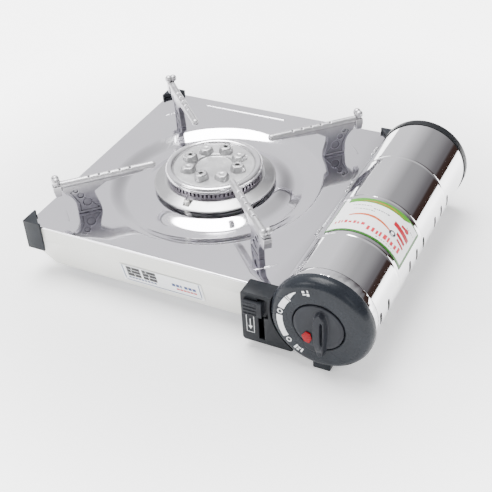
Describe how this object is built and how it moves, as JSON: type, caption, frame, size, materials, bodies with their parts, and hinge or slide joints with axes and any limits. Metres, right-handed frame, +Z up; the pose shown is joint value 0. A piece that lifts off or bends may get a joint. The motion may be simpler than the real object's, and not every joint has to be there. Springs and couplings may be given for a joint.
{
  "type": "portable gas stove",
  "caption": "Portable cassette gas stove with a ported ring burner, swivelling pan supports, a cartridge compartment under a hinged cover, a rotary dial and a locking lever.",
  "frame": {"origin": "middle of the footprint, on the surface that the stove stands on", "axes": "+X to the right towards the cartridge compartment, +Y to the back, away from the dial, +Z up"},
  "size_m": [0.3588, 0.3128, 0.1019],
  "materials": {
    "white_steel": "white painted sheet steel, gloss",
    "plain_steel": "zinc-plated sheet steel, satin",
    "polished_steel": "polished stainless sheet",
    "black_plastic": "moulded black plastic, satin",
    "foot_rubber": "black rubber",
    "name_plate": "printed aluminium plate",
    "mirror_steel": "mirror-polished stainless sheet",
    "cap_plastic": "moulded black plastic",
    "dial_plastic": "moulded dark grey plastic, semi-gloss",
    "lever_plastic": "moulded black plastic, satin",
    "zinc_casting": "zinc die casting",
    "brass": "machined brass",
    "cast_aluminium": "cast aluminium, as cast",
    "polished_ring": "polished stainless pressing",
    "heated_steel": "steel with a heat tint",
    "crown_metal": "turned cast aluminium",
    "burner_casting": "cast aluminium, blasted",
    "ceramic": "glazed white ceramic",
    "socket_steel": "plated steel",
    "cover_steel": "mirror-polished stainless sheet",
    "label_film": "printed film, white with a green border",
    "knob_plastic": "moulded dark grey plastic, semi-gloss",
    "pointer_red": "moulded red plastic",
    "lever_pad": "moulded black plastic, satin",
    "support_casting": "cast aluminium alloy, satin"
  },
  "bodies": {
    "chassis": {"body_shell": "white_steel", "floor_pan": "plain_steel", "top_plate": "polished_steel", "guard_front_left": "black_plastic", "guard_back_left": "black_plastic", "guard_back_right": "black_plastic", "feet": "foot_rubber", "front_plate": "name_plate", "bay_trough": "mirror_steel", "front_collar": "mirror_steel", "rear_cap": "cap_plastic", "dial_housing": "dial_plastic", "lever_housing": "lever_plastic", "cartridge_cradle": "plain_steel", "guide_plate": "plain_steel", "regulator": "zinc_casting", "gas_pipe": "brass", "gas_jet": "brass", "mixing_tube": "cast_aluminium", "burner_base": "cast_aluminium", "drip_ring": "polished_ring", "port_ring": "heated_steel", "crown_ring": "crown_metal", "burner_head": "burner_casting", "electrode": "ceramic", "electrode_wire": "heated_steel", "piezo_igniter": "black_plastic", "hinge_pin": "plain_steel", "support_sockets": "socket_steel", "shell_screws": "plain_steel"},
    "cover": {"cover_shell": "cover_steel", "cover_label": "label_film"},
    "dial": {"knob": "knob_plastic", "knob_pointer": "pointer_red", "valve_spindle": "brass"},
    "lock_lever": {"lever": "lever_pad"},
    "pusher": {"cartridge_pusher": "plain_steel"},
    "support_fl": {"support_front_left": "support_casting"},
    "support_fr": {"support_front_right": "support_casting"},
    "support_bl": {"support_back_left": "support_casting"},
    "support_br": {"support_back_right": "support_casting"}
  },
  "joints": [
    {"name": "cover_hinge", "type": "hinge", "parent": "chassis", "child": "cover", "pos_m": [0.08905, 0.03015, 0.0608], "axis": [0, -1, 0], "range_deg": [0, 60]},
    {"name": "dial_turn", "type": "hinge", "parent": "chassis", "child": "dial", "pos_m": [0.13335, -0.14835, 0.05], "axis": [0, 1, 0], "range_deg": [0, 100]},
    {"name": "lever_slide", "type": "slide", "parent": "chassis", "child": "lock_lever", "axis": [0, 0, -1], "range_m": [0, 0.018]},
    {"name": "pusher_slide", "type": "slide", "parent": "chassis", "child": "pusher", "axis": [0, -1, 0], "range_m": [0, 0.006]},
    {"name": "support_fl_swivel", "type": "hinge", "parent": "chassis", "child": "support_fl", "pos_m": [-0.13195, -0.08365, 0.057], "axis": [0, 0, 1], "range_deg": [0, 45]},
    {"name": "support_fr_swivel", "type": "hinge", "parent": "chassis", "child": "support_fr", "pos_m": [0.04765, -0.08365, 0.057], "axis": [0, 0, 1], "range_deg": [-45, 0]},
    {"name": "support_bl_swivel", "type": "hinge", "parent": "chassis", "child": "support_bl", "pos_m": [-0.13195, 0.09595, 0.057], "axis": [0, 0, 1], "range_deg": [-45, 0]},
    {"name": "support_br_swivel", "type": "hinge", "parent": "chassis", "child": "support_br", "pos_m": [0.04765, 0.09595, 0.057], "axis": [0, 0, 1], "range_deg": [0, 45]}
  ],
  "couplings": [
    {"joint": "pusher_slide", "follows": "lever_slide", "ratio": 0.3333}
  ]
}
